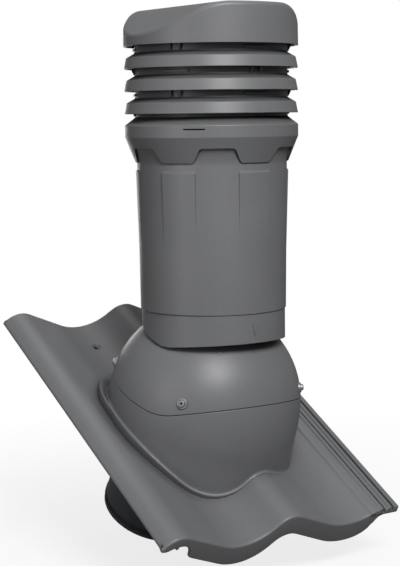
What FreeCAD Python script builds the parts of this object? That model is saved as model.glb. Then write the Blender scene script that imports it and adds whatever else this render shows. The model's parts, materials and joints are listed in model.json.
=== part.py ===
import FreeCAD, Part
import math
import os

# Roof tile vent: a wave tile with a two-part dome, an insulated pipe and a louvred hood.
# Millimetres. +Z runs up the pipe, -Y points down the roof to the eave, +X to the right.
# The origin is the middle of the open end of the duct spigot.

V = FreeCAD.Vector

# Clearances
SLIP_GAP = 0.3
SEAM_GAP = 0.4
SEAT_GAP = 0.05

# How far a small form sinks into the wall that carries it
ROOT = 1.0

# Roof and spigot
ROOF_PITCH = 29.0
SPIGOT_DROP = 195.2
SPIGOT_SHIFT = 27.4
SPIGOT_RADIUS = 65.0
SPIGOT_WALL = 2.5
SPIGOT_GROOVE_WIDTH = 7.0
SPIGOT_GROOVE_DEPTH = 1.4
SPIGOT_GROOVE_HEIGHT = 5.0
SPIGOT_COLLAR_WIDTH = 6.0
SPIGOT_COLLAR_THICKNESS = 3.0
FLANGE_DROP = 56.0
FLANGE_THICKNESS = 3.0
FLANGE_MARGIN = 4.0
GASKET_THICKNESS = 2.0
GASKET_MARGIN = 2.0
GASKET_WIDTH = 8.0
SEAL_LIP = 0.9
SEAL_LIP_HEIGHT = 1.6

# Wave tile, measured across from its left edge and up from the height of the dome centre
TILE_WIDTH = 330.0
TILE_LENGTH = 420.0
TILE_WALL = 4.0
TILE_LEFT = -159.4
DOME_TO_EAVE = 195.8
WAVE_PITCH = 150.0
CREST_ACROSS = 16.8
CREST_HEIGHT = -13.0
CREST_RADIUS = 25.8
LEFT_EDGE_DROP = 16.8
VALLEY_ACROSS = 120.3
VALLEY_HEIGHT = -59.5
VALLEY_RADIUS = 58.0
LAST_VALLEY_RUN = 37.0
LAST_VALLEY_HEIGHT = -54.3
LAST_VALLEY_RADIUS = 75.0
LOCK_WIDTH = 34.5
LOCK_FOOT = -37.7
LOCK_RIB_TOP = -33.4
LOCK_GROOVE_FLOOR = -40.4
LOCK_UNDERSIDE = -43.4
LOCK_OVERHANG = 4.0
LOCK_BEVEL = 0.6
LOCK_RIB_SPANS = ((0.0, 5.0), (12.0, 17.0), (27.0, LOCK_WIDTH))
LIP_DEPTH = 27.0
LIP_END_DEPTH = 10.0
LIP_WALL = 4.0
LIP_START = 39.0
LIP_END_MARGIN = 2.0
LIP_TAPER = 17.0
LIP_TAPER_RISE = 14.0
DRIP_NIB_ACROSS = 19.0
DRIP_NIB_WIDTH = 4.0
DRIP_NIB_DEPTH = 4.0
DRIP_NIB_FALL = 5.0
NAIL_FROM_RIDGE = 46.5
NAIL_ACROSS = 113.5
VALLEY_FLOORS = (-47.9, -46.9)
NAIL_HOLE_RADIUS = 2.5
NAIL_DIMPLE_RADIUS = 4.5
NAIL_DIMPLE_DEPTH = 1.6
BATTEN_NIB_LENGTH = 44.0
BATTEN_NIB_WIDTH = 12.0
BATTEN_NIB_HEIGHT = 16.4
BATTEN_NIB_FROM_RIDGE = 22.0

# Dome, two plastic shells that meet on a bent rim line
DOME_RADIUS = 114.4
DOME_WALL = 3.4
SKIRT_STEP = 0.4
SKIRT_FOOT_ACROSS = 115.5
SKIRT_FOOT_ALONG = 117.5
SKIRT_FOOT_SHIFT = -8.0
LEDGE_HALF_ACROSS = 120.6
LEDGE_HALF_ALONG = 132.1
LEDGE_SHIFT = 1.0
LEDGE_RISE = 4.5
LEDGE_LEFT_RISE = 12.2
LEDGE_RIGHT_RISE = -1.0
RIM_BEND_Y = -56.0
RIM_BEND_Z = -1.5
RIM_BACK_SLOPE = 0.365
RIM_FRONT_SLOPE = -0.165
RIM_BEND_RADIUS = 60.0
RIM_SEAM = 0.8
LAP_HEIGHT = 20.0
LAP_OVERLAP = 8.0
LAP_WALL = 2.6

# Neck, collar and pipe, heights from the dome centre, places from the pipe axis
PIPE_SHIFT = -20.8
NECK_RADIUS = 65.5
NECK_WALL = 2.4
NECK_TOP = 126.0
COLLAR_RADIUS = 83.8
COLLAR_WALL = 3.0
COLLAR_TOP = 112.2
COLLAR_BEND_Y = -18.2
COLLAR_BEND_Z = 74.1
COLLAR_BACK_SLOPE = 0.339
COLLAR_FRONT_SLOPE = -0.079
COLLAR_BEND_RADIUS = 50.0
COLLAR_SHELF = 2.4
POINTER_WIDTH = 8.0
POINTER_TOP = 103.0
POINTER_HEIGHT = 16.0
POINTER_RISE = 0.8
DOME_NUBS = ((247.7, 68.2, 2.2), (274.5, 66.5, 1.1))
DOME_NUB_RISE = 0.8
PIPE_RADIUS = 62.5
PIPE_WALL = 2.5
BEND_TOP = 85.0
BEND_FOOT = 20.0
BEND_WALL = 2.2
BEND_SOCKET = 18.0

# Outer sleeve with its six raised panels
SLEEVE_STEP = 1.2
SLEEVE_WIDENING = 1.9
SLEEVE_WALL = 2.5
SLEEVE_STRAIGHT_TOP = 275.0
PANEL_TOP_MARGIN = 1.0
PANEL_HEIGHT = 92.5
PANEL_RISE = 1.6
PANEL_ANGLE = 27.0
PANEL_BEVEL = 2.0
FLARE_REACH = 6.0
FLARE_HEIGHT = 27.0
FLARE_RIM = 3.0
FLARE_BELLY = 1.3

# Hood, built on one pitch, each height given from the one below it
HOOD_OVERHANG = 13.3
HOOD_WALL = 2.2
HOOD_EDGE_ROUND = 0.6
HOOD_SHOULDER_ROUND = 1.6
HOOD_BEND_DROP = 1.4
RING_COUNT = 3
RING_PITCH = 25.6
SHOULDER_INSET = 2.5
SHOULDER_HEIGHT = 12.5
HOOD_NECK_INSET = 12.0
NECK_START = 18.0
NECK_RISE = 28.5
BASE_TEETH_RISE = 7.6
BASE_GAP_HEIGHT = 16.6
BASE_CONE_HEIGHT = 28.8
BASE_BAND_HEIGHT = 13.4
BASE_TAPER_HEIGHT = 9.2
BASE_NECK_HEIGHT = 3.8
BASE_TEETH_GAP = 0.4
BASE_TEETH_WALL = 1.3
BASE_NECK_LAP = 3.0
TOOTH_COUNT = 6
TOOTH_STEP = 360.0 / TOOTH_COUNT
GAP_TOP_HALF = 19.7
GAP_FOOT_HALF = 26.6
GAP_CORNER = 5.0
FLOOR_DROP = 4.9
FLOOR_THICKNESS = 2.5
HUB_DEPTH = 26.0
HUB_WALL = 2.5
FLOOR_RISE = 6.0
FLOOR_SLOPE_WIDTH = 3.0
PIPE_ABOVE_FLOOR = 13.5
SLOT_ANGLE = 225.0
SLOT_SPAN = 14.0
SLOT_HEIGHT = 1.5
SLOT_RISE = 8.2
CLIP_COUNT = 3
CLIP_STEP = 360.0 / CLIP_COUNT
CLIP_FIRST = 30.0
CLIP_SPACING = 12.0
CLIP_THICKNESS = 3.0
CLIP_REACH = 3.3
CLIP_FOOT_RISE = 0.8
CLIP_SLANT_HEIGHT = 5.0
CLIP_HEAD_ABOVE_TIP = 8.0
BAR_SPAN = 20.0
BAR_HEIGHT = 2.5
BAR_FOOT = 2.3
BAR_RISE = 1.8

# Cap with a low ridge and two slanted sides
CAP_HEIGHT = 45.0
CAP_RIDGE_HALF = 52.3
CAP_SLANT = 0.696
CAP_DRAFT = 0.4
CAP_DRAFT_RISE = 10.0
CAP_RIDGE_RADIUS = 60.0
CAP_EDGE_RADIUS = 5.0
CAP_PILLAR_WIDTH = 12.0

# Screws of the dome: angle round the dome and height over its centre
DOME_SCREWS = ((32.0, 46.0), (148.0, 46.0), (223.5, 15.5), (316.5, 15.5))
SCREW_RADIUS = 2.0
SCREW_HEAD_RADIUS = 4.2
SCREW_HEAD_HEIGHT = 2.8
SCREW_HEAD_TAPER = 0.9
SCREW_SOCKET_RADIUS = 1.6
SCREW_SOCKET_DEPTH = 1.9
SCREW_LENGTH = 12.0
WASHER_RADIUS = 6.6
WASHER_THICKNESS = 1.8
WASHER_TAPER = 0.8

# Gasket round the inner pipe
PIPE_GASKET_WIDTH = 7.0
PIPE_GASKET_BASE = 2.0
PIPE_GASKET_HEIGHT = 8.0

# Values worked out from the ones above
TILT = math.radians(ROOF_PITCH)
NORMAL = V(0, -math.sin(TILT), math.cos(TILT))
UP_ROOF = V(0, math.cos(TILT), math.sin(TILT))
DOME_CENTRE = NORMAL * SPIGOT_DROP - UP_ROOF * SPIGOT_SHIFT
PIPE_Y = DOME_CENTRE.y + PIPE_SHIFT
LOCK_START = TILE_WIDTH - LOCK_WIDTH
LOCK_RIBS = [(LOCK_START + start, LOCK_START + end) for start, end in LOCK_RIB_SPANS]
LAST_VALLEY_ACROSS = LOCK_START - LAST_VALLEY_RUN
LIP_END = LOCK_START - LIP_END_MARGIN
SLEEVE_FOOT_RADIUS = COLLAR_RADIUS + SLEEVE_STEP
SLEEVE_TOP_RADIUS = SLEEVE_FOOT_RADIUS + SLEEVE_WIDENING
FLARE_RADIUS = SLEEVE_TOP_RADIUS + FLARE_REACH
BASE_TEETH_RADIUS = SLEEVE_TOP_RADIUS + BASE_TEETH_GAP + BASE_TEETH_WALL
HOOD_RADIUS = SLEEVE_TOP_RADIUS + HOOD_OVERHANG
HOOD_NECK_RADIUS = HOOD_RADIUS - HOOD_NECK_INSET
CLIP_OUTSIDE = HOOD_NECK_RADIUS + CLIP_REACH
PANEL_TOP = SLEEVE_STRAIGHT_TOP - PANEL_TOP_MARGIN
PANEL_FOOT = PANEL_TOP - PANEL_HEIGHT
FLARE_TOP = SLEEVE_STRAIGHT_TOP + FLARE_HEIGHT
SLEEVE_TOP = FLARE_TOP + FLARE_RIM
BASE_TEETH_FOOT = SLEEVE_STRAIGHT_TOP + BASE_TEETH_RISE
BASE_GAP_TOP = BASE_TEETH_FOOT + BASE_GAP_HEIGHT
BASE_BAND_FOOT = BASE_TEETH_FOOT + BASE_CONE_HEIGHT
BASE_SHOULDER = BASE_BAND_FOOT + BASE_BAND_HEIGHT
BASE_NECK_FOOT = BASE_SHOULDER + BASE_TAPER_HEIGHT
FIRST_RING = BASE_NECK_FOOT + BASE_NECK_HEIGHT
FLOOR_HEIGHT = BASE_BAND_FOOT - FLOOR_DROP
PIPE_TOP = FLOOR_HEIGHT + PIPE_ABOVE_FLOOR
SLOT_Z = BASE_BAND_FOOT + SLOT_RISE
CAP_FOOT = FIRST_RING + RING_COUNT * RING_PITCH
CAP_TOP = CAP_FOOT + CAP_HEIGHT
LOWER_RADIUS = DOME_RADIUS - SKIRT_STEP
FAR = 400.0


def on_roof(shape):
    """Place a shape made square to the tile, with the dome centre as its origin."""
    placed = shape.copy()
    placed.rotate(V(0, 0, 0), V(1, 0, 0), ROOF_PITCH)
    placed.translate(DOME_CENTRE)
    return placed


def on_pipe(shape):
    """Place a shape made round the pipe axis, with heights from the dome centre."""
    placed = shape.copy()
    placed.translate(V(0, PIPE_Y, DOME_CENTRE.z))
    return placed


def at_dome(shape):
    """Place an upright shape whose origin is the dome centre."""
    placed = shape.copy()
    placed.translate(DOME_CENTRE)
    return placed


def rounded_corner(before, corner, after, radius):
    """Start, middle and end of the arc that rounds a corner."""
    back = (before - corner).normalize()
    ahead = (after - corner).normalize()
    half = back.getAngle(ahead) / 2
    middle_line = (back + ahead).normalize()
    cut = radius / math.tan(half)
    centre = corner + middle_line * (radius / math.sin(half))
    return corner + back * cut, centre - middle_line * radius, corner + ahead * cut


def outline(corners):
    """Closed wire through corners given as (point, rounding radius)."""
    stations = []
    count = len(corners)
    for i, (corner, radius) in enumerate(corners):
        if radius == 0:
            stations.append((corner, None, corner))
            continue
        before = corners[i - 1][0]
        after = corners[(i + 1) % count][0]
        stations.append(rounded_corner(before, corner, after, radius))
    edges = []
    for i, (start, middle, end) in enumerate(stations):
        if middle is not None:
            edges.append(Part.Arc(start, middle, end).toShape())
        following = stations[(i + 1) % count][0]
        if end.distanceToPoint(following) > 1e-6:
            edges.append(Part.makeLine(end, following))
    return Part.Wire(edges)


def prism(corners, direction):
    return Part.Face(outline(corners)).extrude(direction)


def turned(profile):
    """Solid of revolution from (radius, height) or (radius, height, rounding) points."""
    corners = [(V(p[0], 0, p[1]), p[2] if len(p) > 2 else 0) for p in profile]
    return Part.Face(outline(corners)).revolve(V(0, 0, 0), V(0, 0, 1), 360)


def tube(outer, inner, low, high):
    return turned([(inner, low), (outer, low), (outer, high), (inner, high)])


def cylinder(radius, low, high):
    return Part.makeCylinder(radius, high - low, V(0, 0, low))


def sector(shape, angle, span):
    """The part of a shape that lies within a span round the axis."""
    wedge = Part.Face(outline([(V(0, 0, -FAR), 0), (V(FAR, 0, -FAR), 0), (V(FAR, 0, 2 * FAR), 0),
                               (V(0, 0, 2 * FAR), 0)])).revolve(V(0, 0, 0), V(0, 0, 1), span)
    wedge.rotate(V(0, 0, 0), V(0, 0, 1), angle - span / 2)
    return shape.common(wedge)


def around(shape, angle):
    turned_shape = shape.copy()
    turned_shape.rotate(V(0, 0, 0), V(0, 0, 1), angle)
    return turned_shape


def fused(shapes):
    whole = shapes[0].fuse(shapes[1:]) if len(shapes) > 1 else shapes[0]
    return whole.removeSplitter()


def above_bend(bend_y, bend_z, back_slope, front_slope, radius):
    """Everything above two planes that meet along a line across the roof."""
    corners = [
        (V(-FAR, bend_y, bend_z), radius),
        (V(-FAR, bend_y + FAR, bend_z + FAR * back_slope), 0),
        (V(-FAR, bend_y + FAR, 2 * FAR), 0),
        (V(-FAR, bend_y - FAR, 2 * FAR), 0),
        (V(-FAR, bend_y - FAR, bend_z - FAR * front_slope), 0),
    ]
    return prism(corners, V(2 * FAR, 0, 0))


def above_rim(lift):
    """What lies above the rim line of the dome, in the upright frame of the dome centre."""
    return above_bend(RIM_BEND_Y, RIM_BEND_Z + lift, RIM_BACK_SLOPE, RIM_FRONT_SLOPE, RIM_BEND_RADIUS)


def upright_to_roof(shape):
    """Turn an upright cutter about the dome centre into the tile's own frame."""
    tilted = shape.copy()
    tilted.rotate(V(0, 0, 0), V(1, 0, 0), -ROOF_PITCH)
    return tilted


def wave_corners(lift, left_lift=0.0, right_lift=0.0):
    """Corners of the tile's wave from the left edge to the side lock."""
    points = [
        (0, CREST_HEIGHT - LEFT_EDGE_DROP + left_lift, 0),
        (CREST_ACROSS, CREST_HEIGHT + left_lift, CREST_RADIUS if left_lift == 0 else 0),
        (VALLEY_ACROSS, VALLEY_HEIGHT, VALLEY_RADIUS),
        (CREST_ACROSS + WAVE_PITCH, CREST_HEIGHT, CREST_RADIUS),
        (LAST_VALLEY_ACROSS, LAST_VALLEY_HEIGHT + right_lift, LAST_VALLEY_RADIUS),
        (LOCK_START, LOCK_FOOT + right_lift, 0),
    ]
    return [(V(TILE_LEFT + x, -DOME_TO_EAVE, z + lift), r) for x, z, r in points]


def lock_corners():
    """Corners of the ribs and grooves of the side lock, left to right."""
    points = [(LOCK_RIBS[0][0], LOCK_RIB_TOP)]
    for rib, following in zip(LOCK_RIBS, LOCK_RIBS[1:]):
        points += [
            (rib[1], LOCK_RIB_TOP), (rib[1] + LOCK_BEVEL, LOCK_GROOVE_FLOOR),
            (following[0] - LOCK_BEVEL, LOCK_GROOVE_FLOOR), (following[0], LOCK_RIB_TOP),
        ]
    points.append((TILE_WIDTH, LOCK_RIB_TOP))
    return [(V(TILE_LEFT + x, -DOME_TO_EAVE, z), 0) for x, z in points]


def tile_plate():
    top = wave_corners(0)
    bottom = wave_corners(-TILE_WALL)[:-1]
    underside = [
        (V(TILE_LEFT + TILE_WIDTH, -DOME_TO_EAVE, LOCK_UNDERSIDE), 0),
        (V(TILE_LEFT + LOCK_START - LOCK_OVERHANG, -DOME_TO_EAVE, LOCK_UNDERSIDE), 0),
    ]
    corners = top + lock_corners() + underside + bottom[::-1]
    return prism(corners, V(0, TILE_LENGTH, 0))


def eave_lip():
    """The turned-down front edge, deep between its two ends."""
    top = wave_corners(-TILE_WALL / 2)
    deep = wave_corners(-LIP_DEPTH)
    band = prism(top + deep[::-1], V(0, LIP_WALL, 0))
    taper_start = LIP_END - LIP_TAPER
    corners = [
        (LIP_START, FAR), (LIP_START, -FAR), (taper_start, -FAR),
        (taper_start, LAST_VALLEY_HEIGHT - LIP_DEPTH + LIP_TAPER_RISE), (LIP_END, LOCK_UNDERSIDE),
        (LIP_END, FAR),
    ]
    window = prism([(V(TILE_LEFT + x, -DOME_TO_EAVE, z), 0) for x, z in corners], V(0, LIP_WALL, 0))
    shallow = wave_corners(-LIP_END_DEPTH)
    thin = prism(top + shallow[::-1], V(0, LIP_WALL, 0))
    nib_foot = CREST_HEIGHT - DRIP_NIB_FALL - LIP_END_DEPTH - DRIP_NIB_DEPTH
    nib = Part.makeBox(DRIP_NIB_WIDTH, LIP_WALL, LIP_END_DEPTH / 2 + DRIP_NIB_DEPTH,
                       V(TILE_LEFT + DRIP_NIB_ACROSS, -DOME_TO_EAVE, nib_foot))
    return fused([band.common(window), thin, nib])


def batten_nibs():
    """Two hooks under the upper edge that hang the tile on its batten."""
    nibs = []
    y = TILE_LENGTH - DOME_TO_EAVE - BATTEN_NIB_FROM_RIDGE - BATTEN_NIB_WIDTH
    for k, floor in enumerate(VALLEY_FLOORS):
        x = TILE_LEFT + NAIL_ACROSS + k * WAVE_PITCH - BATTEN_NIB_LENGTH / 2
        corner = V(x, y, floor - TILE_WALL - BATTEN_NIB_HEIGHT)
        height = BATTEN_NIB_HEIGHT + TILE_WALL / 2
        nibs.append(Part.makeBox(BATTEN_NIB_LENGTH, BATTEN_NIB_WIDTH, height, corner))
    return nibs


def nail_holes():
    """Dimpled nail holes in the two valleys near the upper edge."""
    cutters = []
    y = TILE_LENGTH - DOME_TO_EAVE - NAIL_FROM_RIDGE
    for k, floor in enumerate(VALLEY_FLOORS):
        x = TILE_LEFT + NAIL_ACROSS + k * WAVE_PITCH
        cutters.append(Part.makeCylinder(NAIL_HOLE_RADIUS, 4 * TILE_WALL, V(x, y, floor - 3 * TILE_WALL)))
        cutters.append(Part.makeCone(NAIL_HOLE_RADIUS, NAIL_DIMPLE_RADIUS, NAIL_DIMPLE_DEPTH,
                                     V(x, y, floor - NAIL_DIMPLE_DEPTH)))
        cutters.append(Part.makeCylinder(NAIL_DIMPLE_RADIUS, TILE_WALL, V(x, y, floor)))
    return cutters


def oval(half_across, half_along, z, shift=SKIRT_FOOT_SHIFT):
    """Closed oval in the tile's plane, its start on the side up the roof."""
    curve = Part.Ellipse(V(0, shift + half_along, z), V(half_across, shift, z), V(0, shift, z))
    return Part.Wire([curve.toShape()])


def skirt_solid(inset):
    """Ball and skirt of the lower dome, made smaller all round by an inset."""
    radius = LOWER_RADIUS - inset
    ball = Part.makeSphere(radius)
    ring = Part.Wire([Part.Circle(V(0, 0, 0), V(0, 0, 1), radius).toShape()])
    ring.rotate(V(0, 0, 0), V(0, 0, 1), 90)
    foot = oval(SKIRT_FOOT_ACROSS - inset, SKIRT_FOOT_ALONG - inset, -FLANGE_DROP)
    skirt = Part.makeLoft([ring, foot], True, True)
    below = Part.makeBox(2 * FAR, 2 * FAR, FAR, V(-FAR, -FAR, -FAR))
    return ball.cut(below).fuse(skirt)


def ledge():
    """Step round the foot of the dome, highest on its left side and gone on its right."""
    foot = oval(LEDGE_HALF_ACROSS, LEDGE_HALF_ALONG, -FLANGE_DROP, LEDGE_SHIFT)
    block = Part.Face(foot).extrude(V(0, 0, 2 * FLANGE_DROP))
    top = wave_corners(LEDGE_RISE, LEDGE_LEFT_RISE, LEDGE_RIGHT_RISE - LEDGE_RISE)
    bottom = wave_corners(-TILE_WALL / 2)
    layer = prism(top + bottom[::-1], V(0, TILE_LENGTH, 0))
    return block.common(layer)


def tile_base():
    outside = skirt_solid(0)
    inside = skirt_solid(DOME_WALL)
    cover = upright_to_roof(above_rim(0))
    lap_zone = upright_to_roof(above_rim(-LAP_OVERLAP).cut(above_rim(LAP_HEIGHT)))
    lap_radius = DOME_RADIUS - DOME_WALL - SLIP_GAP
    lap = Part.makeSphere(lap_radius).cut(Part.makeSphere(lap_radius - LAP_WALL)).common(lap_zone)
    body = fused([tile_plate(), eave_lip(), ledge()] + batten_nibs())
    body = body.cut(nail_holes())
    wall = outside.cut(inside).cut(cover)
    lap_outside = Part.makeBox(2 * FAR, 2 * FAR, FAR, V(-FAR, -FAR, 0))
    lap = lap.common(lap_outside)
    body = fused([body.cut(outside), wall, lap])
    body = on_roof(body)
    return body.cut(screw_cutters(SCREW_RADIUS + SLIP_GAP))


def dome_shell():
    shell = Part.makeSphere(DOME_RADIUS).cut(Part.makeSphere(DOME_RADIUS - DOME_WALL))
    shell = shell.common(above_rim(RIM_SEAM))
    bore = cylinder(NECK_RADIUS - NECK_WALL, 0, NECK_TOP)
    bore.translate(V(0, PIPE_SHIFT, 0))
    neck = tube(NECK_RADIUS, NECK_RADIUS - NECK_WALL, 0, NECK_TOP)
    neck.translate(V(0, PIPE_SHIFT, 0))
    neck = neck.cut(Part.makeSphere(DOME_RADIUS - DOME_WALL))
    whole = fused([shell.cut(bore), neck] + dome_marks())
    return at_dome(whole).cut(screw_cutters(SCREW_RADIUS + SLIP_GAP))


def on_ball(polar, height):
    """Point on the dome at an angle and a height, with its outward direction."""
    flat = math.sqrt(DOME_RADIUS ** 2 - height ** 2)
    angle = math.radians(polar)
    spot = V(flat * math.cos(angle), flat * math.sin(angle), height)
    return spot, V(spot).normalize()


def dome_marks():
    """Small nub and pitch mark on the front of the upper shell."""
    marks = []
    for polar, height, radius in DOME_NUBS:
        spot, out = on_ball(polar, height)
        marks.append(Part.makeCylinder(radius, DOME_NUB_RISE + ROOT, spot - out * ROOT, out))
    return marks


def screw_cutters(radius):
    holes = []
    for polar, height in DOME_SCREWS:
        spot, out = on_ball(polar, height)
        holes.append(Part.makeCylinder(radius, 4 * WASHER_RADIUS, spot - out * 2 * WASHER_RADIUS, out))
    return at_dome(Part.makeCompound(holes))


def dome_screws():
    screws = []
    for polar, height in DOME_SCREWS:
        spot, out = on_ball(polar, height)
        seat = spot + out * (WASHER_THICKNESS + SEAT_GAP)
        shank = Part.makeCylinder(SCREW_RADIUS, SCREW_LENGTH, seat - out * SCREW_LENGTH, out)
        head_top = SCREW_HEAD_RADIUS - SCREW_HEAD_TAPER
        head = Part.makeCone(SCREW_HEAD_RADIUS, head_top, SCREW_HEAD_HEIGHT, seat, out)
        floor = seat + out * (SCREW_HEAD_HEIGHT - SCREW_SOCKET_DEPTH)
        socket = Part.makeCylinder(SCREW_SOCKET_RADIUS, SCREW_HEAD_HEIGHT, floor, out)
        screws.append(shank.fuse(head).cut(socket).removeSplitter())
    return at_dome(Part.makeCompound(screws))


def dome_screw_washers():
    washers = []
    for polar, height in DOME_SCREWS:
        spot, out = on_ball(polar, height)
        disc = Part.makeCone(WASHER_RADIUS + WASHER_TAPER, WASHER_RADIUS - WASHER_TAPER, 2 * WASHER_THICKNESS,
                             spot - out * WASHER_THICKNESS, out)
        hole = Part.makeCylinder(SCREW_RADIUS + SLIP_GAP, 4 * WASHER_THICKNESS,
                                 spot - out * 2 * WASHER_THICKNESS, out)
        washers.append(disc.cut(hole).cut(Part.makeSphere(DOME_RADIUS + SEAT_GAP)))
    return at_dome(Part.makeCompound(washers))


def dome_seal():
    """Soft ring in the seam between the two shells."""
    outer = DOME_RADIUS - ROOT
    inner = DOME_RADIUS - DOME_WALL + SEAT_GAP
    ring = Part.makeSphere(outer).cut(Part.makeSphere(inner))
    zone = above_rim(SEAT_GAP).cut(above_rim(RIM_SEAM - SEAT_GAP))
    return at_dome(ring.common(zone))


def neck_collar():
    ring = tube(COLLAR_RADIUS, COLLAR_RADIUS - COLLAR_WALL, 0, COLLAR_TOP)
    ring = ring.common(above_bend(COLLAR_BEND_Y, COLLAR_BEND_Z, COLLAR_BACK_SLOPE, COLLAR_FRONT_SLOPE,
                                  COLLAR_BEND_RADIUS))
    shelf = tube(COLLAR_RADIUS - COLLAR_WALL, NECK_RADIUS + SLIP_GAP, COLLAR_TOP - COLLAR_SHELF, COLLAR_TOP)
    pointer = prism([
        (V(-POINTER_WIDTH / 2, 0, POINTER_TOP), 0), (V(POINTER_WIDTH / 2, 0, POINTER_TOP), 0),
        (V(0, 0, POINTER_TOP - POINTER_HEIGHT), 0),
    ], V(0, -FAR, 0))
    skin = tube(COLLAR_RADIUS + POINTER_RISE, COLLAR_RADIUS - ROOT, 0, COLLAR_TOP)
    return on_pipe(fused([ring, shelf, skin.common(pointer)]))


def sleeve_radius(height):
    share = (height - COLLAR_TOP) / (SLEEVE_STRAIGHT_TOP - COLLAR_TOP)
    return SLEEVE_FOOT_RADIUS + (SLEEVE_TOP_RADIUS - SLEEVE_FOOT_RADIUS) * share


def gap_window(side_gap):
    """One opening of the castellated edge, pointing along +X."""
    top = BASE_GAP_TOP - side_gap
    spread = GAP_FOOT_HALF + 3 * GAP_CORNER
    below = BASE_TEETH_FOOT - 2 * GAP_CORNER
    corners = [
        (spread, below, 0), (spread, BASE_TEETH_FOOT, 0),
        (GAP_FOOT_HALF - side_gap, BASE_TEETH_FOOT, GAP_CORNER),
        (GAP_TOP_HALF - side_gap, top, GAP_CORNER),
        (-GAP_TOP_HALF + side_gap, top, GAP_CORNER),
        (-GAP_FOOT_HALF + side_gap, BASE_TEETH_FOOT, GAP_CORNER),
        (-spread, BASE_TEETH_FOOT, 0), (-spread, below, 0),
    ]
    return prism([(V(PIPE_RADIUS, y, z), r) for y, z, r in corners], V(PIPE_RADIUS, 0, 0))


def sleeve_flares():
    """Hollow curves that fill the gaps between the teeth of the hood."""
    start = V(SLEEVE_TOP_RADIUS, 0, SLEEVE_STRAIGHT_TOP)
    middle = V(SLEEVE_TOP_RADIUS + FLARE_BELLY, 0, (SLEEVE_STRAIGHT_TOP + FLARE_TOP) / 2)
    arc = Part.Arc(start, middle, V(FLARE_RADIUS, 0, BASE_GAP_TOP)).toShape()
    inner = SLEEVE_TOP_RADIUS - ROOT
    path = [arc]
    corners = [V(FLARE_RADIUS, 0, BASE_GAP_TOP), V(FLARE_RADIUS, 0, FLARE_TOP),
               V(inner, 0, FLARE_TOP), V(inner, 0, SLEEVE_STRAIGHT_TOP), start]
    path += [Part.makeLine(a, b) for a, b in zip(corners, corners[1:])]
    ring = Part.Face(Part.Wire(path)).revolve(V(0, 0, 0), V(0, 0, 1), 360)
    half = GAP_TOP_HALF - GAP_CORNER
    head = Part.makeBox(PIPE_RADIUS, 2 * half, 2 * GAP_CORNER,
                        V(PIPE_RADIUS, -half, BASE_GAP_TOP - GAP_CORNER))
    window = gap_window(SLIP_GAP).fuse(head)
    return [ring.common(around(window, TOOTH_STEP * k)) for k in range(TOOTH_COUNT)]


def raised_panels():
    foot = sleeve_radius(PANEL_FOOT)
    top = sleeve_radius(PANEL_TOP)
    ring = turned([
        (foot - ROOT, PANEL_FOOT), (foot, PANEL_FOOT), (top + PANEL_RISE, PANEL_TOP - PANEL_BEVEL),
        (top, PANEL_TOP), (top - ROOT, PANEL_TOP),
    ])
    return [sector(ring, TOOTH_STEP * (k + 0.5), PANEL_ANGLE) for k in range(TOOTH_COUNT)]


def outer_sleeve():
    foot = COLLAR_TOP + SEAM_GAP
    profile = [
        (sleeve_radius(foot) - SLEEVE_WALL, foot), (sleeve_radius(foot), foot, HOOD_EDGE_ROUND),
        (SLEEVE_TOP_RADIUS, SLEEVE_STRAIGHT_TOP), (SLEEVE_TOP_RADIUS, SLEEVE_TOP),
        (SLEEVE_TOP_RADIUS - SLEEVE_WALL, SLEEVE_TOP),
        (SLEEVE_TOP_RADIUS - SLEEVE_WALL, SLEEVE_STRAIGHT_TOP),
    ]
    return on_pipe(fused([turned(profile)] + raised_panels() + sleeve_flares()))


def inner_pipe():
    return on_pipe(tube(PIPE_RADIUS, PIPE_RADIUS - PIPE_WALL, BEND_TOP + SEAM_GAP, PIPE_TOP))


def insulation_sleeve():
    outer = SLEEVE_FOOT_RADIUS - SLEEVE_WALL - SLIP_GAP
    top = FLOOR_HEIGHT - HUB_DEPTH - SLIP_GAP
    return on_pipe(tube(outer, PIPE_RADIUS + SLIP_GAP, NECK_TOP + SLIP_GAP, top))


def bend_body(radius, end_radius, overshoot):
    """Filled soft bend from the upright pipe to the tilted spigot, with ends that go inside both."""
    sections = []
    for share in (0.0, 0.5, 1.0):
        ring = Part.Wire([Part.Circle(V(0, 0, 0), V(0, 0, 1), radius).toShape()])
        ring.rotate(V(0, 0, 0), V(1, 0, 0), ROOF_PITCH * share)
        ring.translate(bend_axis(share))
        sections.append(ring)
    curve = Part.makeLoft(sections, True)
    upper = cylinder(end_radius, 0, BEND_SOCKET + overshoot)
    upper.translate(bend_axis(0.0))
    lower = cylinder(end_radius, -BEND_SOCKET - overshoot, 0)
    lower.rotate(V(0, 0, 0), V(1, 0, 0), ROOF_PITCH)
    lower.translate(bend_axis(1.0))
    return curve.fuse([upper, lower])


def bend_axis(share):
    """Point on the middle line of the bend, from the pipe (0) to the spigot (1)."""
    top = V(0, PIPE_SHIFT, BEND_TOP)
    foot = UP_ROOF * SPIGOT_SHIFT + NORMAL * BEND_FOOT
    knee = (V(0, PIPE_SHIFT, BEND_TOP - BEND_SOCKET) + foot + NORMAL * BEND_SOCKET) * 0.5
    return top * (1 - share) ** 2 + knee * (2 * share * (1 - share)) + foot * share ** 2


def pipe_bend():
    end = PIPE_RADIUS - PIPE_WALL - SLIP_GAP
    bore = end - BEND_WALL
    solid = bend_body(PIPE_RADIUS, end, 0).removeSplitter()
    return at_dome(solid.cut(bend_body(bore, bore, ROOT)))


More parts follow.
